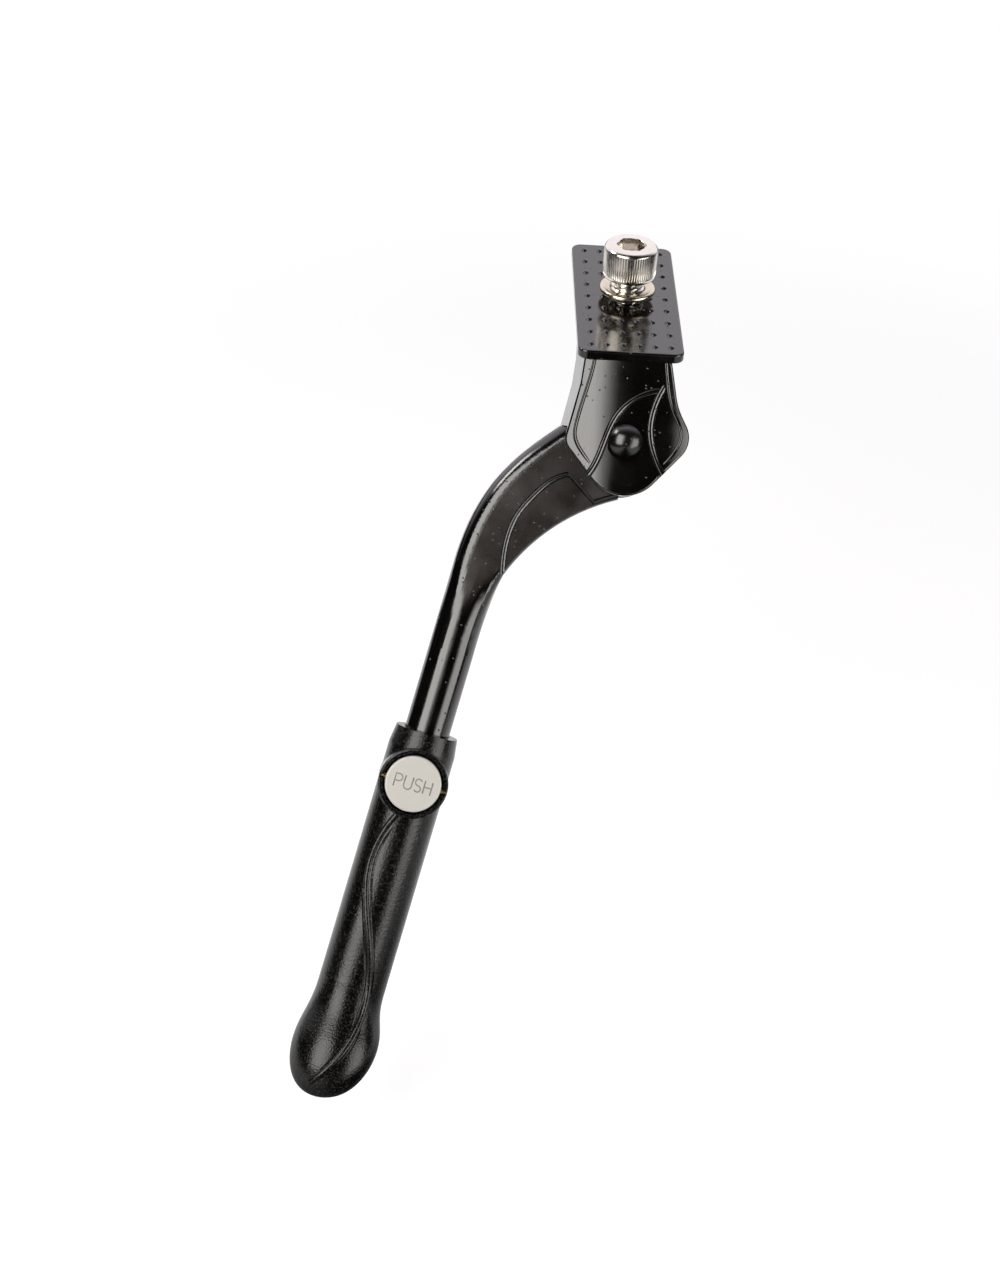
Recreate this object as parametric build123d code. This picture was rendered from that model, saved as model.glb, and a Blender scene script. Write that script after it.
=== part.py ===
from build123d import *
import os
from math import cos, radians, sin, sqrt

# Bicycle kickstand with a clamp plate, a cast gooseneck leg and a foot of adjustable length.
# Millimetres. The origin is on the bolt axis at the top face of the plate. +Z is up along the bolt,
# +X is towards the rear wheel, and -Y is the side of the bicycle that the leg reaches out to.

# Clamp plate
PLATE_W = 31.0
PLATE_L = 70.0
PLATE_T = 3.0
PLATE_CORNER_R = 3.0
PLATE_EDGE_R = 0.6
PIP_COLUMNS = 6
PIP_ROWS = 9
PIP_PITCH_X = 4.7
PIP_PITCH_Y = 7.65
PIP_R = 0.95
PIP_H = 0.6
PIP_HOLE_MARGIN = 1.0

# Clamp bolt and its washer
BOLT_R = 5.0
BOLT_LENGTH = 25.0
BOLT_GRIP = 7.5
BOLT_HEAD_R = 8.0
BOLT_HEAD_H = 10.0
BOLT_HEAD_CHAMFER = 0.9
BOLT_UNDER_CHAMFER = 0.7
BOLT_TIP_CHAMFER = 1.2
SOCKET_ACROSS_FLATS = 8.0
SOCKET_DEPTH = 5.5
SOCKET_CHAMFER = 0.5
WASHER_R = 8.45
WASHER_T = 2.0
WASHER_Z = 2.1
WASHER_EDGE_R = 0.6
BOSS_R = 9.0
BOSS_DEPTH = 18.0
RIB_T = 5.0
RIB_REACH = 27.0

# Forked head: its side face leans out by the splay of the leg
SPLAY = 30.0
FACE_TOP_Y = -33.0
PIVOT_DROP = 23.8
CHEEK_T = 4.5
DRAFT = 3.0
CHEEK_TOP_LEFT = 13.1
CHEEK_TOP_RIGHT = 12.0
CHEEK_LEFT_WAIST = (-13.9, 16.0)
CHEEK_LEFT_CORNER = (-17.7, -1.3)
CHEEK_LOW_CORNER = (-0.6, -22.2)
CHEEK_RIGHT_CORNER = (20.1, 0.3)
CHEEK_RIGHT_WAIST = (14.6, 10.2)
CHEEK_WAIST_R = 20.0
CHEEK_LEFT_R = 4.5
CHEEK_LOW_R = 11.7
CHEEK_RIGHT_R = 7.5
CHEEK_EDGE_R = 0.8
CROWN_R = 50.0
CROWN_X = 3.0
CROWN_H = 1.6
# Middle lines of the grooves in the side face, and the radius and height of the round cutter
WAVE_LINE = [(14.0, 15.2), (4.1, 13.5), (-2.3, 8.5), (-6.0, 0.7), (-8.6, -6.8), (-12.5, -12.5)]
BLADE_LINE = [(12.8, 20.0), (7.4, 8.6), (6.9, 3.0), (8.2, -3.0), (13.5, -12.5)]
LEFT_RIM_LINE = [(-10.6, 30.0), (-11.9, 15.9), (-14.6, 4.9), (-14.9, 0.5), (-13.2, -3.2), (-8.7, -9.2)]
RIGHT_RIM_LINE = [(9.9, 30.0), (11.1, 18.2), (13.5, 8.9), (16.1, 2.3), (15.0, -1.5), (9.2, -8.0)]
GROOVE_R = 1.1
GROOVE_LIFT = 0.35
RIM_GROOVE_R = 0.6
RIM_GROOVE_LIFT = 0.15

# Pivot
RIVET_R = 4.0
RIVET_DOME_R = 5.2
RIVET_DOME_H = 3.0
RIVET_TAIL_R = 6.2
RIVET_TAIL_H = 2.0
RIVET_RECESS_R = 5.9
RIVET_RECESS_DEPTH = 0.7
PIVOT_CLEARANCE = 0.05
HUB_R = 11.0
HUB_GAP = 0.5
SIDE_GAP = 0.3
STOP_GAP = 1.5
STOW_TURN = 104.0

# Leg: angles are about the pivot, from +X, in the plane the leg turns in
LEG_R = 6.8
LEG_LEAN = 13.6
LEG_OFFSET = 31.0
LEG_END = 175.0
LEG_TIP_CHAMFER = 1.0
NECK_END = 48.0
NECK_FLARE = 1.5
ROUND_START = 66.0
ROUND_RUN = 8.0
SHOULDER_ANGLE = 170.0
SHOULDER_R = 19.2
HEEL_ANGLE = -93.0
HEEL_R = 17.6
NECK_SLOPE = 36.0
NECK_SHOULDER = (-36.4, -12.5)
NECK_THROAT = (-17.6, -25.4)
NECK_BACK_R = 4.6
NECK_THROAT_R = 2.4
# The sunk panel on the gooseneck: its curved groove, and the line that ends it near the head
PANEL_LINE = [(-15.9, -10.9), (-20.4, -12.7), (-25.7, -17.4), (-30.0, -22.9), (-32.6, -29.5), (-33.6, -42.5)]
PANEL_END_LINE = [(-15.9, -10.9), (-12.1, -14.8), (-6.8, -20.2)]
PANEL_DEPTH = 0.6
PANEL_GROOVE_R = 1.0
PANEL_END_GROOVE_R = 0.7

# Ball detent in the hub
DETENT_ANGLE = 40.0
BALL_R = 2.4
BALL_OUT = 1.0
BALL_CLEARANCE = 0.15
TRACK_CLEARANCE = 0.3
DIMPLE_DEPTH = 0.6
DETENT_BORE_DEPTH = 11.0
DETENT_WIRE_R = 0.4
DETENT_COIL_R = 1.75
DETENT_TURNS = 5

# Foot sleeve
SLEEVE_R = 10.15
SLEEVE_TOP = 99.4
SLEEVE_TOP_R = 9.4
SLEEVE_TAPER = 5.5
SLIDE_CLEARANCE = 0.2
SLIDE_UP = 10.0
SLIDE_DOWN = 30.0
BORE_SPARE = 1.5
FLARE_START = 176.0
SOLE_AT = 209.4
# Rings of the flared foot: share of its length, radius, share of the turn from square to level,
# and how far the ring stands out towards the toe
FLARE_RINGS = [
    (0, 10.15, 0, 0),
    (0.21, 10.3, 0.1, 0.2),
    (0.40, 11.55, 0.4, 2.2),
    (0.60, 12.85, 0.75, 4.4),
    (0.79, 11.95, 1, 5),
    (0.93, 8.95, 1, 5),
    (1, 5.5, 1, 5),
]
BEAD_R = 0.95
BEAD_SINK = 0.15
# The bead's middle line: distance to the front of the leg axis, and place along it
BEAD_LINE = [
    (0.6, 122.0),
    (4.9, 133.0),
    (5.6, 140.5),
    (2.9, 153.3),
    (-2.2, 167.0),
    (-5.1, 180.5),
    (-3.5, 194.0),
    (-0.4, 200.3),
    (4.4, 207.6),
]

# Rocker latch: heights are from the leg axis towards the button
BUTTON_AT = 114.2
COLLAR_R = 10.4
COLLAR_WELL_R = 9.0
COLLAR_TOP = 12.2
COLLAR_EDGE_R = 0.5
WELL_FLOOR = 8.5
BUTTON_R = 8.35
BUTTON_T = 1.9
BUTTON_PROUD = 0.1
BUTTON_EDGE_R = 0.5
PIN_R = 0.75
PIN_AT = 10.6
PIN_INSET = 0.3
LUG_R = 1.7
LUG_HALF_W = 6.5
ROCK_TURN = 7.0
TOOTH_AT = 5.6
TOOTH_W = 4.0
TOOTH_L = 2.4
TOOTH_TIP = 6.0
CHANNEL_W = 5.0
CHANNEL_FLOOR = 5.6
NOTCH_PITCH = 10.0
NOTCH_L = 3.4
NOTCH_DEPTH = 0.9
WINDOW_MARGIN = 0.5
SPRING_AT = 5.4
SPRING_SEAT_R = 1.9
SPRING_SEAT_DEPTH = 0.7
SPRING_WIRE_R = 0.25
SPRING_COIL_R = 1.35
SPRING_TURNS = 3

# What follows from the driving dimensions
HUB_T = 2 * LEG_R
SLOT_W = HUB_T + 2 * SIDE_GAP
HEAD_T = 2 * CHEEK_T + SLOT_W
LEG_MID = -(CHEEK_T + SLOT_W / 2)
FAR_FACE = LEG_MID - HUB_T / 2
LEAN_SIN = sin(radians(LEG_LEAN))
LEAN_COS = cos(radians(LEG_LEAN))
SPLAY_SIN = sin(radians(SPLAY))
SPLAY_COS = cos(radians(SPLAY))
RIVET_SEAT = CROWN_H - RIVET_RECESS_DEPTH
DETENT_RADIUS = (HUB_R + RIVET_R) / 2
PIN_HALF = COLLAR_R - PIN_INSET
REACH = 3 * PLATE_L

# The plane the leg turns in: origin on the pivot axis at the head's side face, +Z out of that face
PIVOT = Plane(
    origin=(0, FACE_TOP_Y - PIVOT_DROP * SPLAY_SIN, -PLATE_T - PIVOT_DROP * SPLAY_COS),
    x_dir=(1, 0, 0),
    z_dir=(0, -SPLAY_COS, SPLAY_SIN),
)


def leg_point(along, across):
    """A point in the pivot plane, from its place along the leg axis and to the front of it."""
    side = LEG_OFFSET + across
    return (-side * LEAN_COS - along * LEAN_SIN, side * LEAN_SIN - along * LEAN_COS)


def polar(radius, angle):
    """A point in the pivot plane at an angle about the pivot."""
    return (radius * cos(radians(angle)), radius * sin(radians(angle)))


# The leg axis: +Z runs down the leg, +X points out of the side face, +Y points to the front
LEG = Plane(
    origin=PIVOT.from_local_coords(Vector(*leg_point(0, 0), LEG_MID)),
    x_dir=PIVOT.z_dir,
    z_dir=PIVOT.x_dir * -LEAN_SIN + PIVOT.y_dir * -LEAN_COS,
)

# The button's own frame on the leg axis: +Z points out of its face and +Y down the leg
BUTTON = Plane(origin=(0, 0, BUTTON_AT), x_dir=(0, 1, 0), z_dir=(1, 0, 0))


def outline(*edges):
    return make_face(Curve() + list(edges))


def prism(face, low, high):
    """A solid over a face of the pivot plane, between two heights."""
    return extrude(Pos(0, 0, low) * face, amount=high - low)


def post(radius, low, high, at=(0, 0)):
    """A cylinder along Z between two heights."""
    return Pos(*at, (low + high) / 2) * Cylinder(radius, high - low)


def dome(radius, height):
    """A spherical cap that stands on z = 0."""
    ball_r = (radius**2 + height**2) / (2 * height)
    return Pos(0, 0, height - ball_r) * Sphere(ball_r) & post(radius, 0, height)


def rod_along(points, radius):
    """A round rod bent along a smooth line of points."""
    path = Spline(*points)
    section = Plane(origin=path @ 0, z_dir=path % 0) * Circle(radius)
    return sweep(section, path=path)


def coil(radius, wire_r, height, turns):
    """A helical spring whose wire ends lie between z = 0 and the height."""
    path = Helix(pitch=(height - 2 * wire_r) / turns, height=height - 2 * wire_r, radius=radius)
    section = Plane(origin=path @ 0, z_dir=path % 0) * Circle(wire_r)
    return Pos(0, 0, wire_r) * sweep(section, path=path, is_frenet=True)


def cheek_face():
    """The outline of the head's side face, run up past the plate."""
    corners = [
        (-CHEEK_TOP_LEFT, 2 * PIVOT_DROP),
        (-CHEEK_TOP_LEFT, PIVOT_DROP),
        CHEEK_LEFT_WAIST,
        CHEEK_LEFT_CORNER,
        CHEEK_LOW_CORNER,
        CHEEK_RIGHT_CORNER,
        CHEEK_RIGHT_WAIST,
        (CHEEK_TOP_RIGHT, PIVOT_DROP),
        (CHEEK_TOP_RIGHT, 2 * PIVOT_DROP),
    ]
    face = make_face(Polyline(*corners, close=True))
    rounds = [
        (CHEEK_LEFT_WAIST, CHEEK_WAIST_R),
        (CHEEK_LEFT_CORNER, CHEEK_LEFT_R),
        (CHEEK_LOW_CORNER, CHEEK_LOW_R),
        (CHEEK_RIGHT_CORNER, CHEEK_RIGHT_R),
        (CHEEK_RIGHT_WAIST, CHEEK_WAIST_R),
    ]
    for corner, radius in rounds:
        vertex = face.vertices().sort_by_distance((*corner, 0))[0]
        face = fillet(vertex, radius)
    return face


def crown_height(x):
    """Height of the crowned side face above the pivot plane."""
    return CROWN_H - CROWN_R + sqrt(CROWN_R**2 - (x - CROWN_X) ** 2)


def face_groove(line, radius, lift, starts_out=False, ends_out=False):
    """A round-bottomed cutter along a line on the side face, which can rise out of it at either end."""
    lifts = [lift] * len(line)
    if starts_out:
        lifts[0] = 2 * radius
    if ends_out:
        lifts[-1] = 2 * radius
    return rod_along([(x, y, crown_height(x) + up) for (x, y), up in zip(line, lifts)], radius)


def slot_face():
    """The gap between the cheeks: round above the hub and open over the leg's whole swing."""
    front = polar(REACH, SHOULDER_ANGLE - STOP_GAP)
    rear = polar(REACH, HEEL_ANGLE + STOW_TURN + STOP_GAP)
    swing = make_face(Polyline((0, 0), front, (front[0], -REACH), (rear[0], -REACH), rear, close=True))
    return swing + Circle(HUB_R + HUB_GAP)


def detent_track():
    """What the ball runs in: an arc in the far cheek with a deeper seat at each end."""
    centre = FAR_FACE - BALL_OUT + BALL_R
    ring = Plane.XZ * Pos(DETENT_RADIUS, centre) * Circle(BALL_R + TRACK_CLEARANCE)
    track = Rot(0, 0, DETENT_ANGLE) * revolve(ring, axis=Axis.Z, revolution_arc=STOW_TURN)
    for angle in (DETENT_ANGLE, DETENT_ANGLE + STOW_TURN):
        seat = Pos(*polar(DETENT_RADIUS, angle), centre - DIMPLE_DEPTH)
        track += seat * Sphere(BALL_R + TRACK_CLEARANCE)
    return track


def plate():
    body = Pos(0, 0, -PLATE_T / 2) * Box(PLATE_W, PLATE_L, PLATE_T)
    body = fillet(body.edges().filter_by(Axis.Z), PLATE_CORNER_R)
    body = fillet(body.edges().group_by(Axis.Z)[-1] + body.edges().group_by(Axis.Z)[0], PLATE_EDGE_R)
    pip = dome(PIP_R, PIP_H)
    spots = GridLocations(PIP_PITCH_X, PIP_PITCH_Y, PIP_COLUMNS, PIP_ROWS)
    clear = [spot for spot in spots if spot.position.length > BOLT_R + PIP_R + PIP_HOLE_MARGIN]
    return body + [spot * pip for spot in clear]


def mount_head():
    """One casting: the plate, the threaded boss under it, a stiffening rib and the fork."""
    fork = extrude(Pos(0, 0, CROWN_H) * cheek_face(), amount=-HEAD_T - CROWN_H, dir=(0, 0, 1), taper=-DRAFT)
    fork &= Pos(CROWN_X, 0, CROWN_H - CROWN_R) * Rot(90, 0, 0) * Cylinder(CROWN_R, REACH)
    fork = fillet(fork.faces().sort_by(Axis.Z)[-1].edges(), CHEEK_EDGE_R)
    fork -= face_groove(WAVE_LINE, GROOVE_R, GROOVE_LIFT, starts_out=True)
    fork -= face_groove(BLADE_LINE, GROOVE_R, GROOVE_LIFT, starts_out=True)
    fork -= face_groove(LEFT_RIM_LINE, RIM_GROOVE_R, RIM_GROOVE_LIFT, ends_out=True)
    fork -= face_groove(RIGHT_RIM_LINE, RIM_GROOVE_R, RIM_GROOVE_LIFT, ends_out=True)
    fork -= post(RIVET_RECESS_R, RIVET_SEAT, PLATE_L)
    fork = PIVOT * fork
    above = Pos(0, 0, REACH / 2 - PLATE_T / 2) * Box(REACH, REACH, REACH)
    corners = [(0, -PLATE_T / 2), (RIB_REACH, -PLATE_T / 2), (0, -BOSS_DEPTH)]
    rib = Plane.YZ * make_face(Polyline(*corners, close=True))
    body = plate() + (fork - above) + post(BOSS_R, -BOSS_DEPTH, -PLATE_T / 2)
    body += extrude(rib, amount=RIB_T / 2, both=True)
    body -= post(BOLT_R, -BOSS_DEPTH, PLATE_T)
    body -= PIVOT * prism(slot_face(), -CHEEK_T - SLOT_W, -CHEEK_T)
    body -= PIVOT * post(RIVET_R, -HEAD_T, RIVET_SEAT)
    body -= PIVOT * detent_track()
    return body


def clamp_bolt():
    """A socket head cap screw, with its thread left plain at the full diameter."""
    head = post(BOLT_HEAD_R, BOLT_GRIP, BOLT_GRIP + BOLT_HEAD_H)
    head = chamfer(head.edges().sort_by(Axis.Z)[-1], BOLT_HEAD_CHAMFER)
    head = chamfer(head.edges().sort_by(Axis.Z)[0], BOLT_UNDER_CHAMFER)
    shank = post(BOLT_R, BOLT_GRIP - BOLT_LENGTH, BOLT_GRIP)
    shank = chamfer(shank.edges().sort_by(Axis.Z)[0], BOLT_TIP_CHAMFER)
    top = BOLT_GRIP + BOLT_HEAD_H
    hexagon = RegularPolygon(SOCKET_ACROSS_FLATS / 2, 6, major_radius=False)
    socket = extrude(Pos(0, 0, top - SOCKET_DEPTH) * hexagon, amount=SOCKET_DEPTH)
    mouth_r = SOCKET_ACROSS_FLATS / sqrt(3)
    mouth = Pos(0, 0, top - SOCKET_CHAMFER / 2) * Cone(mouth_r - SOCKET_CHAMFER, mouth_r, SOCKET_CHAMFER)
    return head + shank - socket - mouth


def clamp_washer():
    """A flat washer that grips the thread, left between the plate and the bolt head."""
    ring = post(WASHER_R, WASHER_Z, WASHER_Z + WASHER_T)
    ring = fillet(ring.edges().group_by(Axis.Z)[0] + ring.edges().group_by(Axis.Z)[-1], WASHER_EDGE_R)
    return ring - post(BOLT_R, WASHER_Z, WASHER_Z + WASHER_T)


def pivot_rivet():
    """A domed rivet through both cheeks, peened over at the far side."""
    head = Pos(0, 0, RIVET_SEAT) * dome(RIVET_DOME_R, RIVET_DOME_H)
    tail = post(RIVET_TAIL_R, -HEAD_T - RIVET_TAIL_H, -HEAD_T)
    tail = chamfer(tail.edges().sort_by(Axis.Z)[0], RIVET_TAIL_H / 2)
    return PIVOT * (head + tail + post(RIVET_R, -HEAD_T, RIVET_SEAT))


def neck_face():
    """The outline of the gooseneck from the hub to where the round leg starts."""
    front = leg_point(NECK_END, LEG_R)
    rear = leg_point(NECK_END, -LEG_R - NECK_FLARE)
    shoulder = polar(SHOULDER_R, SHOULDER_ANGLE)
    heel = polar(HEEL_R, HEEL_ANGLE)
    slope = (-cos(radians(NECK_SLOPE)), -sin(radians(NECK_SLOPE)))
    back = Spline(shoulder, NECK_SHOULDER, front, tangents=(slope, (-LEAN_SIN, -LEAN_COS)))
    throat = ThreePointArc(rear, NECK_THROAT, heel)
    return outline(Line((0, 0), shoulder), back, Line(front, rear), throat, Line(heel, (0, 0)))


def leg_arm():
    """One casting: a hub between the cheeks, a flat gooseneck and a round leg with latch notches."""
    top = LEG_MID + HUB_T / 2
    neck = prism(neck_face(), top - HUB_T, top)
    neck = fillet(neck.edges().filter_by(GeomType.BSPLINE), NECK_BACK_R)
    throat = [edge for edge in neck.edges().filter_by(GeomType.CIRCLE) if edge.length > HUB_T]
    neck = fillet(throat, NECK_THROAT_R)
    end = neck.faces().sort_by_distance((*leg_point(NECK_END, 0), LEG_MID))[0]
    rounds = [LEG * Pos(0, 0, along) * Circle(LEG_R) for along in (ROUND_START, ROUND_START + ROUND_RUN)]
    blend = loft([PIVOT * end, rounds[0].face(), rounds[1].face()])
    neck += post(HUB_R, top - HUB_T, top)
    below = [PANEL_LINE[-1], (PANEL_END_LINE[-1][0], PANEL_LINE[-1][1]), PANEL_END_LINE[-1]]
    panel = outline(Spline(*PANEL_LINE), Polyline(*below), Spline(*reversed(PANEL_END_LINE)))
    neck -= prism(panel, top - PANEL_DEPTH, top + HUB_T)
    for line, radius in ((PANEL_LINE, PANEL_GROOVE_R), (PANEL_END_LINE, PANEL_END_GROOVE_R)):
        neck -= rod_along([(x, y, top) for x, y in line], radius)
    neck -= post(RIVET_R + PIVOT_CLEARANCE, LEG_MID - HUB_T, LEG_MID + HUB_T)
    detent = polar(DETENT_RADIUS, DETENT_ANGLE)
    neck -= post(BALL_R + BALL_CLEARANCE, FAR_FACE, FAR_FACE + DETENT_BORE_DEPTH, detent)
    shaft = post(LEG_R, ROUND_START + ROUND_RUN, LEG_END)
    shaft = chamfer(shaft.edges().sort_by(Axis.Z)[-1], LEG_TIP_CHAMFER)
    return PIVOT * neck + blend + LEG * (shaft - latch_channel())


def latch_channel():
    """The keyway that the latch tooth rides in, with a deeper notch for each length of the foot."""
    tooth = BUTTON_AT + TOOTH_AT
    start = tooth - SLIDE_UP - NOTCH_L
    end = tooth + SLIDE_DOWN + NOTCH_L
    height = 2 * LEG_R - CHANNEL_FLOOR
    cut = Pos(CHANNEL_FLOOR + height / 2, 0, (start + end) / 2) * Box(height, CHANNEL_W, end - start)
    notches = round((SLIDE_UP + SLIDE_DOWN) / NOTCH_PITCH) + 1
    for number in range(notches):
        place = tooth - SLIDE_UP + number * NOTCH_PITCH
        cut += Pos(CHANNEL_FLOOR, 0, place) * Box(2 * NOTCH_DEPTH, CHANNEL_W, NOTCH_L)
    return cut


def detent_ball():
    centre = Vector(*polar(DETENT_RADIUS, DETENT_ANGLE), FAR_FACE - BALL_OUT + BALL_R)
    return Pos(PIVOT.from_local_coords(centre)) * Sphere(BALL_R)


def detent_spring():
    """The spring behind the ball, from the bottom of its bore to where the wire meets the ball."""
    reach = sqrt((BALL_R + DETENT_WIRE_R) ** 2 - DETENT_COIL_R**2)
    low = FAR_FACE - BALL_OUT + BALL_R + reach - DETENT_WIRE_R
    length = FAR_FACE + DETENT_BORE_DEPTH - low
    spring = coil(DETENT_COIL_R, DETENT_WIRE_R, length, DETENT_TURNS)
    return PIVOT * Pos(*polar(DETENT_RADIUS, DETENT_ANGLE), low) * spring


def foot_skin():
    """The sleeve and the flared foot as one solid."""
    profile = [
        (0, SLEEVE_TOP),
        (SLEEVE_TOP_R, SLEEVE_TOP),
        (SLEEVE_R, SLEEVE_TOP + SLEEVE_TAPER),
        (SLEEVE_R, FLARE_START),
        (0, FLARE_START),
    ]
    sleeve = revolve(Plane.XZ * make_face(Polyline(*profile, close=True)), axis=Axis.Z)
    down = LEG.to_local_coords(Vector(LEG.origin.X, LEG.origin.Y, LEG.origin.Z - 1))
    flare = SOLE_AT - FLARE_START
    rings = []
    for share, radius, tilt, toe in FLARE_RINGS:
        normal = Vector(0, 0, 1 - tilt) + down * tilt
        place = Plane(origin=(toe, 0, FLARE_START + share * flare), x_dir=(0, 1, 0), z_dir=normal)
        rings.append((place * Circle(radius)).face())
    return sleeve + loft(rings)


def bead(skin):
    """The S-shaped bead, laid on the side of the skin that faces out."""
    points = []
    for across, along in BEAD_LINE:
        hits = skin.find_intersection_points(Axis((0, across, along), (1, 0, 0)))
        surface = max(point.X for point, normal in hits)
        points.append((surface - BEAD_SINK, across, along))
    return rod_along(points, BEAD_R)


def foot_sleeve():
    """One moulding: the sleeve that slides on the leg, the latch collar and the foot."""
    skin = foot_skin()
    collar = post(COLLAR_R, 0, COLLAR_TOP)
    collar = fillet(collar.edges().sort_by(Axis.Z)[-1], COLLAR_EDGE_R)
    body = skin + bead(skin) + BUTTON * collar
    body -= post(LEG_R + SLIDE_CLEARANCE, SLEEVE_TOP - SLEEVE_TAPER, LEG_END + SLIDE_UP + BORE_SPARE)
    body -= BUTTON * post(COLLAR_WELL_R, WELL_FLOOR, 2 * COLLAR_TOP)
    swing = (PIN_AT - TOOTH_TIP) * sin(radians(ROCK_TURN))
    window = Box(TOOTH_W + 2 * WINDOW_MARGIN, TOOTH_L + swing + 2 * WINDOW_MARGIN, 2 * WELL_FLOOR)
    body -= BUTTON * Pos(0, TOOTH_AT + swing / 2, WELL_FLOOR) * window
    body -= BUTTON * post(SPRING_SEAT_R, WELL_FLOOR - SPRING_SEAT_DEPTH, COLLAR_TOP, (0, -SPRING_AT))
    body -= BUTTON * pin_rod(PIN_R, PIN_HALF)
    body -= BUTTON * Pos(0, 0, PIN_AT + COLLAR_TOP / 2) * Box(2 * PIN_HALF, 2 * PIN_R, COLLAR_TOP)
    return LEG * body


def pin_rod(radius, half_length):
    """A rod along the button's rocking axis."""
    return Pos(0, 0, PIN_AT) * Rot(0, 90, 0) * Cylinder(radius, 2 * half_length)


def button_pin():
    return LEG * BUTTON * pin_rod(PIN_R, PIN_HALF)


def button_spring():
    """The spring that lifts the upper half of the button off the floor of its well."""
    low = WELL_FLOOR - SPRING_SEAT_DEPTH
    length = COLLAR_TOP + BUTTON_PROUD - BUTTON_T - low
    return LEG * BUTTON * Pos(0, -SPRING_AT, low) * coil(SPRING_COIL_R, SPRING_WIRE_R, length, SPRING_TURNS)


def press_button():
    """One moulding: the round rocker, its pin lug and the latch tooth under the lower half."""
    top = COLLAR_TOP + BUTTON_PROUD
    disc = post(BUTTON_R, top - BUTTON_T, top)
    disc = fillet(disc.edges().sort_by(Axis.Z)[-1], BUTTON_EDGE_R)
    lug = pin_rod(LUG_R, LUG_HALF_W) & post(BUTTON_R, PIN_AT - LUG_R, top - BUTTON_T / 2)
    tooth_root = top - BUTTON_T / 2
    tooth = Pos(0, TOOTH_AT, (TOOTH_TIP + tooth_root) / 2) * Box(TOOTH_W, TOOTH_L, tooth_root - TOOTH_TIP)
    return LEG * BUTTON * (disc + lug + tooth - pin_rod(PIN_R + PIVOT_CLEARANCE, 2 * BUTTON_R))


SUB_PARTS = {
    "mount_head": mount_head,
    "clamp_bolt": clamp_bolt,
    "clamp_washer": clamp_washer,
    "pivot_rivet": pivot_rivet,
    "leg_arm": leg_arm,
    "detent_ball": detent_ball,
    "detent_spring": detent_spring,
    "foot_sleeve": foot_sleeve,
    "button_pin": button_pin,
    "button_spring": button_spring,
    "press_button": press_button,
}

os.makedirs("parts", exist_ok=True)
for name, make in SUB_PARTS.items():
    export_step(make(), f"parts/{name}.step")
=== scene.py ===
from math import cos, pi, radians, sin

import bmesh
import bpy
import numpy as np
from mathutils import Matrix, Vector
from mathutils.bvhtree import BVHTree
from mathutils.interpolate import poly_3d_calc


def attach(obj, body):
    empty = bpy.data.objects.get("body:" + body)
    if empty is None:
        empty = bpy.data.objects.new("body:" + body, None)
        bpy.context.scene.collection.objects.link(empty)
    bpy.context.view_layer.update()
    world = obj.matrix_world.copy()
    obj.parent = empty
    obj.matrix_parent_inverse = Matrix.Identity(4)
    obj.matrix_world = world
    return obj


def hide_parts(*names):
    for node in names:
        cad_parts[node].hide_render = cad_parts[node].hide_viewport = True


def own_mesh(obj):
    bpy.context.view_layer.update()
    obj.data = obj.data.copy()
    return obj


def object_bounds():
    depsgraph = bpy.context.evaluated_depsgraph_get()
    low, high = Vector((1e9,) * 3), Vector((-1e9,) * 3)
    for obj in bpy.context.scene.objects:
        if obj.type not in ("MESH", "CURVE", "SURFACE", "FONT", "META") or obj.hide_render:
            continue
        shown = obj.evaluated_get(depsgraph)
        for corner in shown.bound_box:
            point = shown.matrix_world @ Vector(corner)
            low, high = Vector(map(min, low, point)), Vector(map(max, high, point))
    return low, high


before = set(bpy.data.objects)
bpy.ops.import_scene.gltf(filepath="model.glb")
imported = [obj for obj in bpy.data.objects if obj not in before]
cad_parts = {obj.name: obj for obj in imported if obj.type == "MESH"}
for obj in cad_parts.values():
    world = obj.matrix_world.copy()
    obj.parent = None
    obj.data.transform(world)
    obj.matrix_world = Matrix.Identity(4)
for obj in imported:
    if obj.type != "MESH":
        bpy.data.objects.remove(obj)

CAD_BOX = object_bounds()
MM = 0.001

# The leg: where its axis starts, and the ways out of its face, down along it and to its front
SPLAY = radians(30)
LEAN = radians(13.6)
LEG_START = Vector((-30.1308, -31.2094, -23.0986)) * MM
LEG_OUT = Vector((0, -cos(SPLAY), sin(SPLAY)))
LEG_DOWN = Vector((-sin(LEAN), -cos(LEAN) * sin(SPLAY), -cos(LEAN) * cos(SPLAY)))
LEG_FRONT = Vector((-cos(LEAN), sin(LEAN) * sin(SPLAY), sin(LEAN) * cos(SPLAY)))

# Flat side of the leg casting, duller and with a painted brown sheen in its colour: where it ends along
# the leg, how squarely it faces out, and how cloudy the painted sheen is
FLAT_END = 50 * MM
FLAT_FADE = 14 * MM
FLAT_FACING = (0.985, 0.999)
FLAT_CLOUDS = (0.5, 1.2)

# Clamp bolt
BOLT_R = 5.0 * MM
BOLT_TOP = 17.5 * MM
HEAD_BASE = 7.5 * MM
SHANK_END = -17.5 * MM
HEAD_R = 8.0 * MM
NECK_EDGE = 0.4 * MM
TIP_CHAMFER = 1.2 * MM
SHARP_ANGLE = 0.5
# Edges of its head: depth under the top and distance inside the radius, in mm
HEAD_UPPER_EDGE = ((0, 1.0), (0.05, 0.85), (0.75, 0.1), (0.95, 0.02))
HEAD_LOWER_EDGE = ((9.3, 0), (9.6, 0.1), (10, 0.6))
# Its knurl: depth under the top in mm, and share of the full depth of a groove
KNURL_RUN = ((1.25, 1), (8.35, 1), (8.7, 0))
KNURL_TEETH = 66
KNURL_STEPS = 4
KNURL_DEPTH = 0.36 * MM
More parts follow.
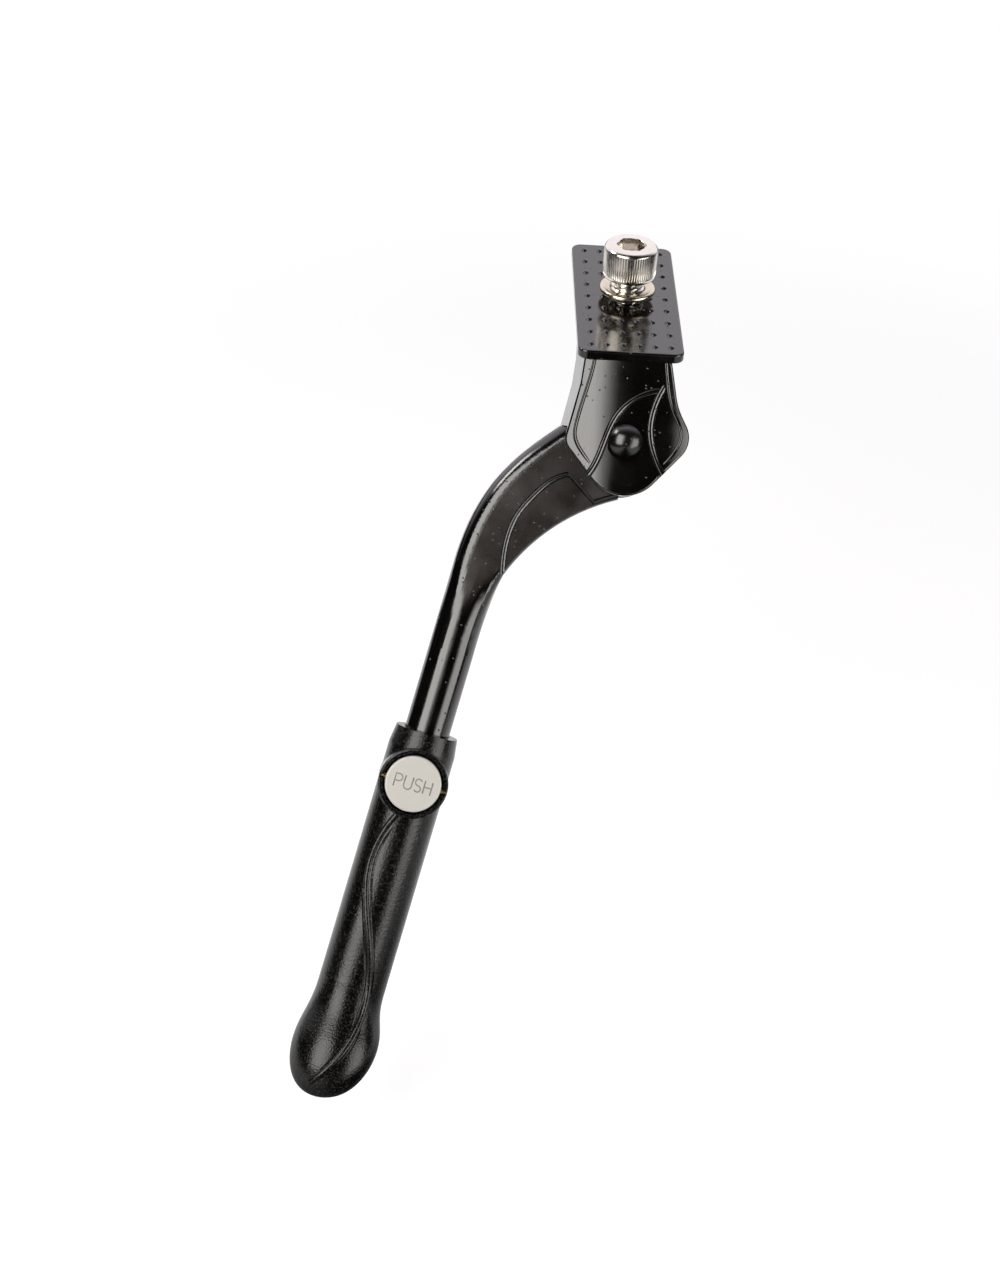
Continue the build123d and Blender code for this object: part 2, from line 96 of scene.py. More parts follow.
# Its thread: the flat at a crest or a root is a share of the pitch, and the steps are those of one turn
THREAD_PITCH = 1.5 * MM
THREAD_DEPTH = 0.65 * MM
THREAD_FLAT = 0.12
THREAD_STEPS = 10
THREAD_START = 0.5 * MM
THREAD_RUN = 0.8 * MM
# Its socket, with the depths in mm of the steps between the hexagon and its round mouth
SOCKET_FLAT_R = 4.0 * MM
SOCKET_EDGE = 0.2 * MM
SOCKET_DEPTH = 5.5 * MM
SOCKET_TIP = 6.3 * MM
MOUTH_DROPS = (0.62, 0.5, 0.35, 0.2, 0.1, 0)

# Washer, with a full round rim and a dished top
WASHER_R = 8.45 * MM
WASHER_HOLE_R = 5.2 * MM
WASHER_LOW = 2.1 * MM
WASHER_T = 2.0 * MM
WASHER_DISH = 0.45 * MM
WASHER_EDGE = 0.3 * MM
WASHER_STEPS = 96
WASHER_RIM_STEPS = 16

# Button face
BUTTON_AT = 114.2 * MM
BUTTON_FACE = 12.3 * MM

# Word on the button: the lift is a share of the stroke, and the gap a share of the height
WORD_HEIGHT = 3.9 * MM
WORD_STROKE = 0.24 * MM
WORD_LIFT = 0.4
LETTER_GAP = 0.2
ARC_STEPS = 10
TUBE_RESOLUTION = 2

# Bead on the foot: its distance to the front of the leg axis and its place along it, in mm
BEAD_LINE = [
    (0.6, 122.0),
    (4.9, 133.0),
    (5.6, 140.5),
    (2.9, 153.3),
    (-2.2, 167.0),
    (-5.1, 180.5),
    (-3.5, 194.0),
    (-0.4, 200.3),
    (4.4, 207.6),
]
# The grooves at both sides of the bead, with their span along the leg in mm and their taper in steps
GROOVE_SPAN = (126.0, 206.5)
GROOVE_STEPS = 90
GROOVE_AWAY = 1.25 * MM
GROOVE_R = 0.45 * MM
GROOVE_LIFT = 0.12 * MM
GROOVE_TAPER = 6
SKIN_AWAY = 2.4 * MM
CAST_FROM = 40 * MM
SAME_PLACE = 0.004 * MM

# The two colours between which each material varies
BLACK_PAINT = ((0.0008, 0.0008, 0.0007), (0.021, 0.0155, 0.0125))
BLACK_PLASTIC = ((0.0006, 0.0006, 0.0005), (0.018, 0.017, 0.0155))
NICKEL = ((0.70, 0.66, 0.60), (0.83, 0.80, 0.75))
ZINC = ((0.60, 0.54, 0.42), (0.74, 0.68, 0.55))
STEEL = ((0.36, 0.36, 0.37), (0.5, 0.5, 0.51))
BRASS = ((0.78, 0.53, 0.24), (0.92, 0.70, 0.38))
BUTTON_GREY = ((0.50, 0.485, 0.45), (0.62, 0.605, 0.57))
# Painted shade: the darker grey inside the engraved word's grooves
ENGRAVING_PAINTED_SHADE = ((0.22, 0.21, 0.19), (0.30, 0.29, 0.265))
# The part of a noise's range that is used
NOISE_MOST = (0.3, 0.7)
NOISE_MIDDLE = (0.35, 0.65)
GRAIN_SPAN = (0.5, 0.66)
# Share of the paint's lighter colour all over, full share of a speck's size, and the cells that have one
PAINT_SHADE = 0.08
SPECK_CORE = 0.3
SPECK_CELLS = (0.6, 0.75)
COAT_IOR = 1.5
METAL_ROUGH_SPAN = 0.15
METAL_STRETCH = (1, 1, 0.2)
FINE_BUMP = {"distance": 0.01 * MM, "strength": 0.4}
# Sockets of the node that mixes two colours
MIX_FACTOR, MIX_LOW, MIX_HIGH, MIX_RESULT = 0, 6, 7, 2

# Camera, with the lens for a frame whose long side is its height
CAMERA_AT = Vector((-63.19, -685.99, 346.87)) * MM
CAMERA_RIGHT = Vector((0.99801, -0.00471, 0.06292))
CAMERA_DOWN = Vector((0.04898, -0.57074, -0.81967))
CAMERA_AHEAD = Vector((0.03978, 0.82111, -0.56938))
CAMERA_LENS = 70.98
CAMERA_NEAR = 10 * MM

# Floor, as low as the foot reaches at its full length, with ramps over distances in metres
FLOOR_R = 8.0
FLOOR_SIDES = 96
FLOOR_GAP = 25.6 * MM
FLOOR_COLOUR = (0.93, 0.91, 0.94, 1)
FLOOR_SHARE_RAMP = (0.35, 0.9, 0.45, 1.0)
FLOOR_GLOW_RAMP = (0.35, 0.9, 1.46, 1.02)
FLOOR_FRONT_RAMP = (-0.16, 0.0, 1.0, 0.0)
FLOOR_SIDE_RAMP = (0.04, 0.2, 1.0, 0.45)
FLOOR_FAR_RAMP = (0.35, 0.55, 0.0, 1.0)

# Room and lamps, with lengths in metres
WHITE = (1, 1, 1, 1)
ROOM_COLOUR = (0.98, 0.94, 1.0, 1)
ROOM_DARK = 0.006
EVEN_LIGHT = 0.35
BACKDROP_WAY = (0.0, 0.9, 0.44)
BACKDROP_RAMP = (0.25, 0.75, ROOM_DARK, 1.2)
LAMP_COLOUR = (1.0, 0.97, 0.93)
LAMP_AIM = Vector((-0.035, -0.06, -0.08))
LAMP_AWAY = 0.95
# Name, turn about the leg in degrees, width, strength, and how it fades across its width
SOFT_BOXES = (
    ("soft_left", 32, 0.74, 4.7, (0.0, 0.36, 0.12, 1.0)),
    ("soft_right", -52, 0.72, 3.3, (1.0, 0.65, 0.2, 1.0)),
)
SOFT_BOX_HEIGHT = 0.9
# A smaller box up to the left, which the pips and the upper edges show
TOP_WAY = Vector((-0.7, 0.2, 0.686))
TOP_SIZE = 0.26
TOP_STRENGTH = 8.0
TOP_FADE = (0.0, 0.2, 0.5, 1.0)


class Nodes:
    """A node tree whose nodes are made and joined by short calls."""

    def __init__(self, tree):
        self.tree = tree

    def fill(self, socket, value):
        """Join another node's output to a socket, or give it a constant."""
        if isinstance(value, bpy.types.NodeSocket):
            self.tree.links.new(value, socket)
        else:
            socket.default_value = value

    def add(self, kind, inputs=None, **settings):
        """A new node with its settings made and some of its sockets filled, by name or by number."""
        node = self.tree.nodes.new(kind)
        for key, value in settings.items():
            setattr(node, key, value)
        for key, value in (inputs or {}).items():
            self.fill(node.inputs[key], value)
        return node

    def math(self, operation, *values):
        return self.add("ShaderNodeMath", dict(enumerate(values)), operation=operation).outputs["Value"]

    def dot(self, vector, direction):
        inputs = {0: vector, 1: direction}
        return self.add("ShaderNodeVectorMath", inputs, operation="DOT_PRODUCT").outputs["Value"]

    def length(self, vector):
        return self.add("ShaderNodeVectorMath", {0: vector}, operation="LENGTH").outputs["Value"]

    def split(self, vector):
        return self.add("ShaderNodeSeparateXYZ", {"Vector": vector}).outputs

    def map_range(self, value, numbers, **settings):
        """A value carried from one range to another: from low, from high, to low, to high."""
        inputs = dict(zip(("From Min", "From Max", "To Min", "To Max"), numbers))
        return self.add("ShaderNodeMapRange", {"Value": value, **inputs}, **settings).outputs["Result"]

    def span(self, value, limits, result=(0, 1)):
        """A straight step of a value between two limits."""
        return self.map_range(value, (*limits, *result), clamp=True)

    def ramp(self, value, numbers):
        """A smooth step of a value: from low, from high, to low, to high."""
        return self.map_range(value, numbers, interpolation_type="SMOOTHSTEP")

    def mix(self, factor, first, second):
        """The first shader where the factor is 0, and the second where it is 1."""
        return self.add("ShaderNodeMixShader", {0: factor, 1: first, 2: second}).outputs["Shader"]

    def light_path(self):
        """Rays from the camera, and rays off or through a shiny surface."""
        path = self.add("ShaderNodeLightPath").outputs
        shiny = self.math("MAXIMUM", path["Is Glossy Ray"], path["Is Transmission Ray"])
        return path["Is Camera Ray"], shiny


class Surface(Nodes):
    """A material whose patterns lie on the solid at rest."""

    def __init__(self, name):
        self.material = bpy.data.materials.new(name)
        self.material.use_nodes = True
        super().__init__(self.material.node_tree)
        self.shader = self.tree.nodes["Principled BSDF"]
        coords = self.add("ShaderNodeTexCoord").outputs
        self.place = coords["Object"]
        self.normal = coords["Normal"]

    def set(self, **values):
        """Fill sockets of the shader, whose names have _ for a space."""
        for key, value in values.items():
            self.fill(self.shader.inputs[key.replace("_", " ")], value)

    def noise(self, scale, detail=2, roughness=0.5, stretch=None):
        place = self.place
        if stretch:
            place = self.add("ShaderNodeMapping", {"Vector": place, "Scale": stretch}).outputs["Vector"]
        inputs = {"Vector": place, "Scale": scale, "Detail": detail, "Roughness": roughness}
        return self.add("ShaderNodeTexNoise", inputs).outputs["Fac"]

    def specks(self, scale, size):
        """Small round marks, 1 at the middle of some cells and 0 elsewhere."""
        cells = self.add("ShaderNodeTexVoronoi", {"Vector": self.place, "Scale": scale}).outputs
        dots = self.span(cells["Distance"], (size, size * SPECK_CORE))
        picked = self.add("ShaderNodeSeparateColor", {"Color": cells["Color"]}).outputs["Red"]
        return self.math("MULTIPLY", dots, self.span(picked, SPECK_CELLS))

    def facing(self, direction, limits):
        """1 where the surface at rest faces a direction, 0 where it turns away."""
        return self.span(self.dot(self.normal, direction), limits)

    def above(self, along):
        """1 where the leg at rest is nearer to the pivot than a place along it, fading to 0 below."""
        end = LEG_START.dot(LEG_DOWN) + along
        return self.span(self.dot(self.place, LEG_DOWN), (end + FLAT_FADE, end))

    def tint(self, factor, colours):
        """The base colour, between two colours."""
        low, high = colours
        inputs = {MIX_FACTOR: factor, MIX_LOW: (*low, 1), MIX_HIGH: (*high, 1)}
        mixed = self.add("ShaderNodeMix", inputs, data_type="RGBA")
        self.set(Base_Color=mixed.outputs[MIX_RESULT])

    def bump(self, height, distance, strength):
        inputs = {"Height": height, "Distance": distance, "Strength": strength}
        self.set(Normal=self.add("ShaderNodeBump", inputs).outputs["Normal"])


def black_paint(name, peel, gloss, flat_rough=0.0):
    """Glossy black paint over a casting, with orange peel and a few specks under it.

    Flat cast areas that face out can be left duller, with a painted brown sheen in their colour."""
    surface = Surface(name)
    surface.set(Metallic=0.0, IOR=COAT_IOR, Specular_IOR_Level=1.0)
    shade = surface.math("MULTIPLY", surface.noise(scale=70, detail=4, roughness=0.6), PAINT_SHADE)
    rough = surface.span(surface.noise(scale=140, detail=3), NOISE_MIDDLE, gloss)
    if flat_rough:
        flat = surface.math("MULTIPLY", surface.facing(LEG_OUT, FLAT_FACING), surface.above(FLAT_END))
        cloudy = surface.span(surface.noise(scale=45, detail=3), NOISE_MIDDLE, FLAT_CLOUDS)
        flat = surface.math("MULTIPLY", flat, cloudy)
        # Painted sheen: the out-facing flat gets the lighter brown colour as well as more roughness
        shade = surface.math("ADD", shade, flat)
        rough = surface.math("ADD", rough, surface.math("MULTIPLY", flat, flat_rough))
    surface.tint(shade, BLACK_PAINT)
    surface.set(Roughness=rough)
    waves = surface.math("MULTIPLY", surface.noise(scale=3000, roughness=0.4), peel)
    height = surface.math("ADD", waves, surface.specks(scale=600, size=0.18))
    surface.bump(height, distance=0.18 * MM, strength=0.8)
    return surface.material


def sleeve_plastic(name):
    """Satin black moulded plastic with a fine spark-eroded grain."""
    surface = Surface(name)
    surface.set(Metallic=0.0, IOR=COAT_IOR, Specular_IOR_Level=0.5)
    grain = surface.noise(scale=1700)
    surface.tint(surface.span(grain, GRAIN_SPAN), BLACK_PLASTIC)
    smears = surface.noise(scale=90, detail=4, roughness=0.6)
    surface.set(Roughness=surface.span(smears, NOISE_MOST, (0.16, 0.24)))
    surface.bump(grain, distance=0.11 * MM, strength=0.8)
    return surface.material


def nickel():
    """Bright nickel plating with a warm tint and faint smears."""
    surface = Surface("bolt_nickel")
    surface.set(Metallic=1.0)
    surface.tint(surface.noise(scale=260, detail=4, roughness=0.6), NICKEL)
    smears = surface.noise(scale=380, detail=4, roughness=0.65)
    surface.set(Roughness=surface.span(smears, NOISE_MOST, (0.10, 0.26)))
    surface.bump(surface.noise(scale=2600), **FINE_BUMP)
    return surface.material


def button_paint(name, colours):
    """Satin warm grey paint with a very fine metal flake."""
    surface = Surface(name)
    surface.set(Metallic=0.25, IOR=COAT_IOR)
    surface.tint(surface.noise(scale=5200, roughness=0.6), colours)
    surface.set(Roughness=surface.span(surface.noise(scale=700, detail=3), NOISE_MOST, (0.34, 0.46)))
    surface.bump(surface.noise(scale=5200), **FINE_BUMP)
    return surface.material


def metal(name, colours, rough):
    """Plain metal with a fine grain drawn out along one direction."""
    surface = Surface(name)
    surface.set(Metallic=1.0)
    surface.tint(surface.noise(scale=900, detail=3), colours)
    rough_span = (rough, rough + METAL_ROUGH_SPAN)
    surface.set(Roughness=surface.span(surface.noise(scale=1500, detail=3), NOISE_MOST, rough_span))
    surface.bump(surface.noise(scale=3000, stretch=METAL_STRETCH), **FINE_BUMP)
    return surface.material


def paint(obj, material):
    obj.data.materials.clear()
    obj.data.materials.append(material)


def add_object(name, data):
    obj = bpy.data.objects.new(name, data)
    bpy.context.scene.collection.objects.link(obj)
    return obj


def mesh_object(name, edit):
    mesh = bpy.data.meshes.new(name)
    edit.to_mesh(mesh)
    edit.free()
    return add_object(name, mesh)


def copy_of(node_name, name):
    """A new object with a mesh of its own, the same as a solid's."""
    return add_object(name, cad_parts[node_name].data.copy())


def finished_mesh(obj):
    """The mesh that an object's curve or modifiers make."""
    bpy.context.view_layer.update()
    return bpy.data.meshes.new_from_object(obj.evaluated_get(bpy.context.evaluated_depsgraph_get()))


def equal_angles(count):
    return [2 * pi * i / count for i in range(count)]


def arc(centre, radius, start, end, steps=ARC_STEPS):
    """Points along an arc between two angles in degrees."""
    points = []
    for step in range(steps + 1):
        angle = radians(start + (end - start) * step / steps)
        points.append((centre[0] + radius * cos(angle), centre[1] + radius * sin(angle)))
    return points


def lathe(name, angles, rings, ends=None):
    """A smooth mesh with sharp edges round the bolt's axis, from rings of (height, radius at each angle).

    With heights for its two ends it closes to a point on the axis at each, and else it is a hoop."""
    edit = bmesh.new()
    loops = []
    for height, radii in rings:
        loops.append([edit.verts.new((r * cos(a), r * sin(a), height)) for a, r in zip(angles, radii)])
    following = [*range(1, len(angles)), 0]
    for upper, lower in zip(loops, loops[1:] if ends else loops[1:] + loops[:1]):
        for i, j in enumerate(following):
            edit.faces.new((upper[i], lower[i], lower[j], upper[j]))
    if ends:
        first, last = [edit.verts.new((0, 0, height)) for height in ends]
        for i, j in enumerate(following):
            edit.faces.new((first, loops[0][i], loops[0][j]))
            edit.faces.new((last, loops[-1][j], loops[-1][i]))
    bmesh.ops.recalc_face_normals(edit, faces=edit.faces)
    for face in edit.faces:
        face.smooth = True
    turned = mesh_object(name, edit)
    turned.data.set_sharp_from_angle(angle=SHARP_ANGLE)
    return turned


def hexagon_r(angle):
    """How far a hexagon's side is from its middle at an angle."""
    turn = angle % (pi / 3) - pi / 6
    return SOCKET_FLAT_R / cos(turn)


def knurl_r(index, depth):
    """Flat-topped teeth with a narrow groove between them."""
    return HEAD_R - (depth if index % KNURL_STEPS == 0 else 0)


def limited(value):
    return min(1, max(0, value))


def thread_r(height, angle):
    """A thread with flat crests at the full radius, which runs out under the head."""
    turn = (height / THREAD_PITCH - angle / (2 * pi)) % 1
    wave = limited((abs(2 * turn - 1) - THREAD_FLAT) / (1 - 2 * THREAD_FLAT))
    fade = limited((HEAD_BASE - THREAD_START - height) / THREAD_RUN)
    return BOLT_R - THREAD_DEPTH * wave * fade


def bolt_rings(angles):
    """Rings from the bottom of the socket round the head and down the thread."""
    count = len(angles)
    hexagon = [hexagon_r(angle) for angle in angles]
    mouth = SOCKET_FLAT_R + SOCKET_EDGE
    rings = [(BOLT_TOP - SOCKET_DEPTH, hexagon)]
    for drop in MOUTH_DROPS:
        rings.append((BOLT_TOP - drop * MM, [max(mouth - drop * MM, side) for side in hexagon]))
    for drop, inset in HEAD_UPPER_EDGE:
        rings.append((BOLT_TOP - drop * MM, [HEAD_R - inset * MM] * count))
    for drop, share in KNURL_RUN:
        rings.append((BOLT_TOP - drop * MM, [knurl_r(i, share * KNURL_DEPTH) for i in range(count)]))
    for drop, inset in HEAD_LOWER_EDGE:
        rings.append((BOLT_TOP - drop * MM, [HEAD_R - inset * MM] * count))
    rings.append((HEAD_BASE, [BOLT_R + NECK_EDGE] * count))
    steps = round((HEAD_BASE - SHANK_END) / THREAD_PITCH * THREAD_STEPS)
    for step in range(1, steps + 1):
        height = HEAD_BASE + (SHANK_END - HEAD_BASE) * step / steps
        tip = max(0, SHANK_END + TIP_CHAMFER - height)
        rings.append((height, [min(thread_r(height, angle), BOLT_R - tip) for angle in angles]))
    return rings


def knurled_bolt():
    """A socket head bolt with a knurled head and a real thread."""
    angles = equal_angles(KNURL_STEPS * KNURL_TEETH)
    return lathe("knurled_bolt", angles, bolt_rings(angles), ends=(BOLT_TOP - SOCKET_TIP, SHANK_END))


def turned_washer():
    """A thick washer with a full round rim, a dished top and a little room round the bolt."""
    rim = WASHER_T / 2
    dish = WASHER_LOW + WASHER_T - WASHER_DISH
    profile = [
        (WASHER_HOLE_R, WASHER_LOW),
        *arc((WASHER_R - rim, WASHER_LOW + rim), rim, -90, 90, WASHER_RIM_STEPS),
        (WASHER_HOLE_R + WASHER_EDGE, dish),
        (WASHER_HOLE_R, dish - WASHER_EDGE),
    ]
    rings = [(height, [radius] * WASHER_STEPS) for radius, height in profile]
    return lathe("turned_washer", equal_angles(WASHER_STEPS), rings)


def tubes(name, lines, radius):
    """One mesh of round tubes along lines of points, each with its share of the radius."""
    curve = bpy.data.curves.new(name, "CURVE")
    curve.dimensions = "3D"
    curve.bevel_depth = radius
    curve.bevel_resolution = TUBE_RESOLUTION
    curve.use_fill_caps = True
    for line in lines:
        spline = curve.splines.new("POLY")
        spline.points.add(len(line) - 1)
        for point, (place, share) in zip(spline.points, line):
            point.co = (*place, 1)
            point.radius = share
    rods = add_object(name, curve)
    mesh = finished_mesh(rods)
    bpy.data.objects.remove(rods)
    return add_object(name, mesh)


def cut_copy(node_name, name, tool, face_paint, cut_paint):
    """A copy of a solid with a tool cut away from it, which is used up."""
    paint(tool, cut_paint)
    piece = copy_of(node_name, name)
    paint(piece, face_paint)
    cut = piece.modifiers.new("cut", "BOOLEAN")
    cut.object = tool
    cut.operation = "DIFFERENCE"
    cut.solver = "EXACT"
    cut.use_self = True
    cut.material_mode = "TRANSFER"
    result = finished_mesh(piece)
    piece.modifiers.clear()
    piece.data = result
    bpy.data.objects.remove(tool)
    return piece


def letters():
    """The letters of the word in boxes one high: the width of each, and its strokes as (x, y) points."""
    return (
        (0.55, [[(0, 0), (0, 1), (0.28, 1), *arc((0.28, 0.73), 0.27, 90, -90), (0, 0.46)]]),
        (0.6, [[(0, 1), (0, 0.3), *arc((0.3, 0.3), 0.3, 180, 360), (0.6, 1)]]),
        (0.53, [[*arc((0.27, 0.74), 0.26, 30, 270), *arc((0.27, 0.24), 0.24, 90, -150)]]),
        (0.58, [[(0, 0), (0, 1)], [(0, 0.52), (0.58, 0.52)], [(0.58, 0), (0.58, 1)]]),
    )


def word_lines():
    """The strokes of the engraved word, along the button's face."""
    word = letters()
    centre = LEG_START + LEG_DOWN * BUTTON_AT + LEG_OUT * (BUTTON_FACE + WORD_LIFT * WORD_STROKE)
    total = sum(width for width, strokes in word) + LETTER_GAP * (len(word) - 1)
    left = -total / 2
    lines = []
    for width, strokes in word:
        for points in strokes:
            line = []
            for x, y in points:
                across = -LEG_FRONT * (left + x) * WORD_HEIGHT
                up = -LEG_DOWN * (y - 0.5) * WORD_HEIGHT
                line.append((centre + across + up, 1))
            lines.append(line)
        left += width + LETTER_GAP
    return lines


def engraved_button(face_paint, groove_shade_paint):
    """The button's own solid with the word cut into its face, its grooves painted darker as painted
    shade.
    """
    tool = tubes("word_tubes", word_lines(), WORD_STROKE)
    return cut_copy("press_button", "engraved_button", tool, face_paint, groove_shade_paint)


def bead_line():
    """Places along the bead where it has grooves, on a natural cubic spline through its named points."""
    points = np.array(BEAD_LINE)
    last = len(points) - 1
    steps = np.diff(points, axis=0)
    gaps = np.linalg.norm(steps, axis=1)
    slopes = steps / gaps[:, None]
    starts = np.concatenate(([0], np.cumsum(gaps)))
    system = np.eye(len(points))
    right = np.zeros_like(points)
    for i in range(1, last):
        system[i, i - 1 : i + 2] = gaps[i - 1], 2 * (gaps[i - 1] + gaps[i]), gaps[i]
        right[i] = 6 * (slopes[i] - slopes[i - 1])
    bend = np.linalg.solve(system, right)
    line = []
    for where in np.linspace(0, starts[-1], GROOVE_STEPS):
        i = min(int(np.searchsorted(starts, where, "right")) - 1, last - 1)
        here = (starts[i + 1] - where) / gaps[i]
        there = (where - starts[i]) / gaps[i]
        curved = ((here**3 - here) * bend[i] + (there**3 - there) * bend[i + 1]) * gaps[i] ** 2 / 6
        across, along = here * points[i] + there * points[i + 1] + curved
        if GROOVE_SPAN[0] <= along <= GROOVE_SPAN[1]:
            line.append((across * MM, along * MM))
    return line


def skin(place, way):
    """Where a ray through a place first meets the foot, and the foot's normal there."""
    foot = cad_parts["foot_sleeve"]
    _, at, normal, _ = foot.ray_cast(place - way * CAST_FROM, way)
    return at, normal


def groove_lines():
    """The two lines beside the bead, laid on the skin of the foot."""
    crest = []
    normals = []
    for across, along in bead_line():
        place = LEG_START + LEG_FRONT * across + LEG_DOWN * along
        crest.append(skin(place, -LEG_OUT)[0])
        sides = [skin(place + LEG_FRONT * away, -LEG_OUT)[1] for away in (-SKIN_AWAY, SKIN_AWAY)]
        normals.append((sides[0] + sides[1]).normalized())
    lines = []
    for sign in (-1, 1):
        line = []
        for i, (at, normal) in enumerate(zip(crest, normals)):
            along = crest[min(i + 1, len(crest) - 1)] - crest[max(i - 1, 0)]
            side = normal.cross(along).normalized()
            beside = skin(at + side * sign * GROOVE_AWAY, -normal)[0]
            share = min(1, (i + 1) / GROOVE_TAPER, (len(crest) - i) / GROOVE_TAPER)
            line.append((beside + normal * GROOVE_LIFT, share))
        lines.append(line)
    return lines


def keep_shading(piece, node_name):
    """Give the faces that a cut has left of a solid the normals that they had before it."""
    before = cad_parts[node_name].data
    before.calc_loop_triangles()
    triangles = before.loop_triangles
    places = [vertex.co for vertex in before.vertices]
    tree = BVHTree.FromPolygons(places, [tuple(triangle.vertices) for triangle in triangles])
    mesh = piece.data
    normals = [corner.vector.copy() for corner in mesh.corner_normals]
    for face in mesh.polygons:
        # Faces of the cut have the second material
        if face.material_index:
            continue
        for corner in face.loop_indices:
            at = mesh.vertices[mesh.loops[corner].vertex_index].co
            found = tree.find_nearest_range(at, SAME_PLACE)
            if not found:
                continue
            triangle = triangles[max(found, key=lambda row: row[1].dot(face.normal))[2]]
            shares = poly_3d_calc([places[index] for index in triangle.vertices], at)
            total = Vector()
            for loop, share in zip(triangle.loops, shares):
                total += before.corner_normals[loop].vector * share
            normals[corner] = total.normalized()
    mesh.normals_split_custom_set(normals)


def grooved_foot(plastic, groove_plastic):
    """The foot's own solid with a groove along both sides of its bead."""
    bpy.context.view_layer.update()
    tool = tubes("groove_tubes", groove_lines(), GROOVE_R)
    piece = cut_copy("foot_sleeve", "grooved_foot", tool, plastic, groove_plastic)
    piece.data.set_sharp_from_angle(angle=SHARP_ANGLE)
    keep_shading(piece, "foot_sleeve")
    return piece


def floor_dimness(nodes, place):
    """1 in front of the object and far out at both sides, about half in front beside it, and 0 behind."""
    parts = nodes.split(place)
    aside = nodes.math("ABSOLUTE", parts["X"])
    front = nodes.ramp(parts["Y"], FLOOR_FRONT_RAMP)
    middle = nodes.ramp(aside, FLOOR_SIDE_RAMP)
    far = nodes.ramp(aside, FLOOR_FAR_RAMP)
    return nodes.math("MAXIMUM", nodes.math("MULTIPLY", front, middle), far)


def floor_material():
    """White floor: it glows for the rays that see it, less so near the object, whose shadow it keeps.

    Shiny surfaces see it dark where it is dim."""
    material = bpy.data.materials.new("studio_floor")
    material.use_nodes = True
    nodes = Nodes(material.node_tree)
    nodes.tree.nodes.clear()
    camera_ray, shiny_ray = nodes.light_path()
    seen = nodes.math("MAXIMUM", camera_ray, shiny_ray)
    place = nodes.add("ShaderNodeTexCoord").outputs["Object"]
    distance = nodes.length(place)
    lit = nodes.add("ShaderNodeBsdfDiffuse", {"Color": FLOOR_COLOUR}).outputs[0]
    glow = nodes.add("ShaderNodeEmission", {"Strength": nodes.ramp(distance, FLOOR_GLOW_RAMP)}).outputs[0]
    white = nodes.mix(nodes.math("MULTIPLY", seen, nodes.ramp(distance, FLOOR_SHARE_RAMP)), lit, glow)
    dark = nodes.add("ShaderNodeEmission", {"Strength": ROOM_DARK}).outputs[0]
    hide = nodes.math("MULTIPLY", floor_dimness(nodes, place), shiny_ray)
    nodes.add("ShaderNodeOutputMaterial", {"Surface": nodes.mix(hide, white, dark)})
    return material


def studio_world():
    """A room that is white behind and above and dark at the camera's side, for shiny surfaces.

    Matt surfaces get an even light from it, and the camera sees plain white."""
    world = bpy.data.worlds.new("studio")
    bpy.context.scene.world = world
    world.use_nodes = True
    nodes = Nodes(world.node_tree)
    nodes.tree.nodes.clear()
    camera_ray, shiny_ray = nodes.light_path()
    way = nodes.add("ShaderNodeTexCoord").outputs["Generated"]
    backdrop = nodes.ramp(nodes.dot(way, BACKDROP_WAY), BACKDROP_RAMP)
    even = nodes.add("ShaderNodeBackground", {"Strength": EVEN_LIGHT}).outputs[0]
    room = nodes.add("ShaderNodeBackground", {"Color": ROOM_COLOUR, "Strength": backdrop}).outputs[0]
    white = nodes.add("ShaderNodeBackground", {"Color": WHITE}).outputs[0]
    shown = nodes.mix(camera_ray, nodes.mix(shiny_ray, even, room), white)
    nodes.add("ShaderNodeOutputWorld", {"Surface": shown})


def soft_box(name, way, width, height, strength, fade):
    """An area light that faces the object, with its height along the leg.

    It is dim at one side and grows to its full strength across its width."""
    data = bpy.data.lights.new(name, "AREA")
    data.shape = "RECTANGLE"
    data.size = width
    data.size_y = height
    data.energy = strength * width * height * pi
    data.color = LAMP_COLOUR
    data.use_nodes = True
    nodes = Nodes(data.node_tree)
    across = nodes.split(nodes.add("ShaderNodeNewGeometry").outputs["Parametric"])["X"]
    nodes.fill(nodes.tree.nodes["Emission"].inputs["Strength"], nodes.ramp(across, fade))
    back = way.normalized()
    up = (LEG_DOWN - back * LEG_DOWN.dot(back)).normalized()
    turn = Matrix((up.cross(back), up, back)).transposed()
    light = add_object(name, data)
    light.matrix_world = Matrix.Translation(LAMP_AIM + way * LAMP_AWAY) @ turn.to_4x4()


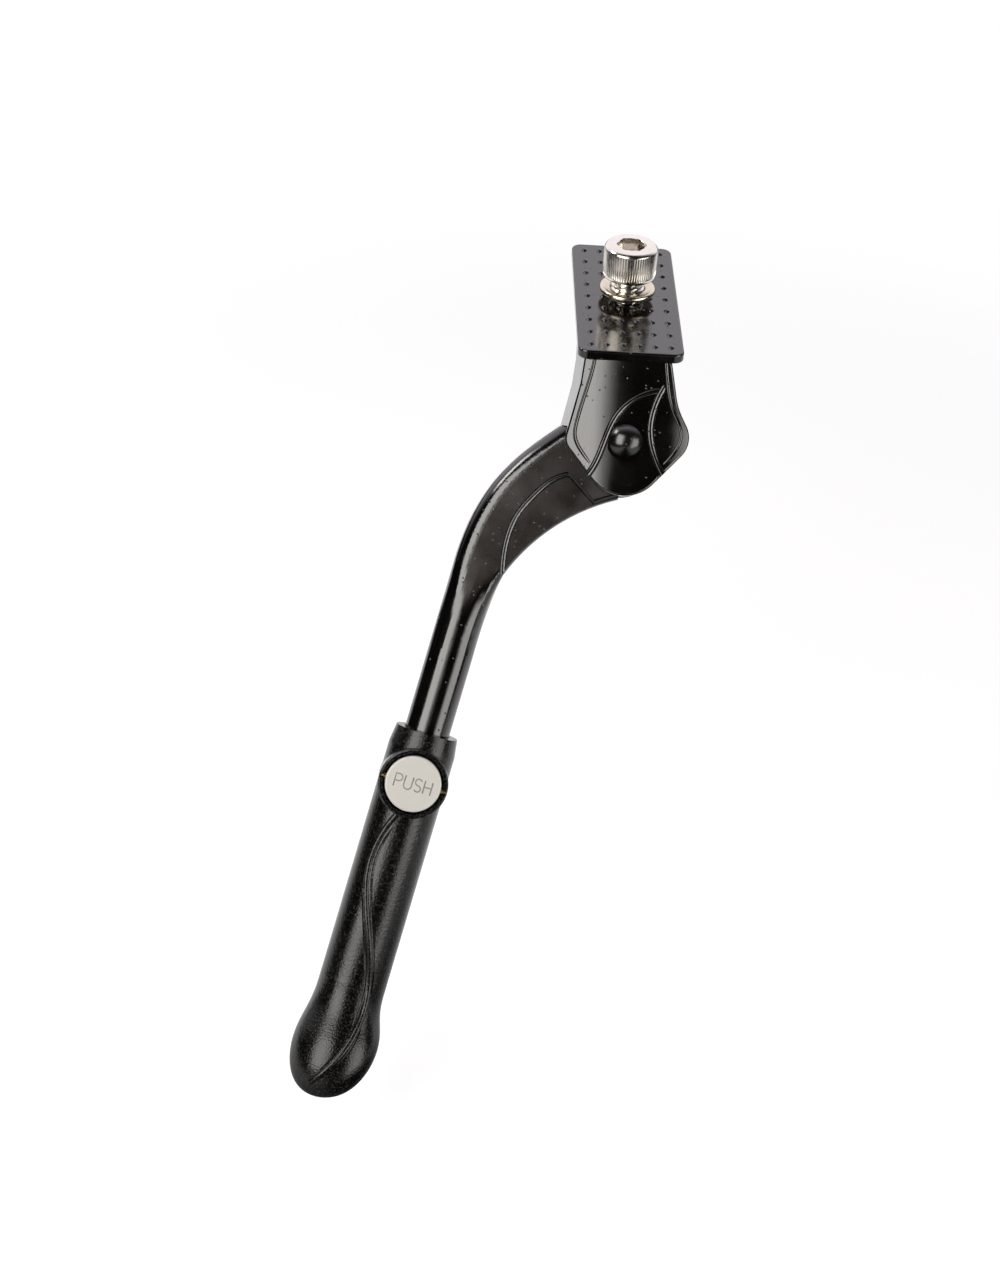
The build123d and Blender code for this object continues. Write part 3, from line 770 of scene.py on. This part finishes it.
def studio():
    edit = bmesh.new()
    bmesh.ops.create_circle(edit, cap_ends=True, segments=FLOOR_SIDES, radius=FLOOR_R)
    floor = mesh_object("studio_floor", edit)
    floor.location.z = CAD_BOX[0].z - FLOOR_GAP
    paint(floor, floor_material())
    studio_world()
    for name, turn, width, strength, fade in SOFT_BOXES:
        way = LEG_OUT * cos(radians(turn)) + LEG_FRONT * sin(radians(turn))
        soft_box(name, way, width, SOFT_BOX_HEIGHT, strength, fade)
    soft_box("soft_top", TOP_WAY, TOP_SIZE, TOP_SIZE, TOP_STRENGTH, TOP_FADE)


def camera():
    data = bpy.data.cameras.new("camera")
    data.lens = CAMERA_LENS
    data.clip_start = CAMERA_NEAR
    view = add_object("camera", data)
    turn = Matrix((CAMERA_RIGHT, -CAMERA_DOWN, -CAMERA_AHEAD)).transposed()
    view.matrix_world = Matrix.Translation(CAMERA_AT) @ turn.to_4x4()
    bpy.context.scene.camera = view


steel = metal("spring_steel_drawn", STEEL, rough=0.3)
NODE_PAINT = {
    "mount_head": black_paint("head_black_paint", peel=0.03, gloss=(0.1, 0.16)),
    "leg_arm": black_paint("leg_black_paint", peel=0.1, gloss=(0.09, 0.16), flat_rough=0.24),
    "pivot_rivet": black_paint("rivet_black_paint", peel=0.04, gloss=(0.2, 0.28)),
    "button_pin": metal("pin_brass_turned", BRASS, rough=0.22),
    "detent_ball": steel,
    "detent_spring": steel,
}
for node_name, material in NODE_PAINT.items():
    paint(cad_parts[node_name], material)

bolt = knurled_bolt()
paint(bolt, nickel())
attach(bolt, "head")
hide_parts("clamp_bolt")

washer = turned_washer()
paint(washer, metal("washer_zinc", ZINC, rough=0.14))
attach(washer, "head")
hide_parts("clamp_washer")

foot = grooved_foot(sleeve_plastic("sleeve_plastic_grain"), sleeve_plastic("sleeve_plastic_groove"))
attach(foot, "foot")
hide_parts("foot_sleeve")

grey = button_paint("button_grey_satin", BUTTON_GREY)
# The word's grooves get a darker grey, which is painted shade
button = engraved_button(grey, button_paint("button_engraving_painted_shade", ENGRAVING_PAINTED_SHADE))
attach(button, "button")
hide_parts("press_button")

spring = copy_of("button_spring", "return_spring")
paint(spring, steel)
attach(spring, "foot")
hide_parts("button_spring")
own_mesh(spring)

studio()
camera()
bpy.context.scene.view_settings.view_transform = "Standard"
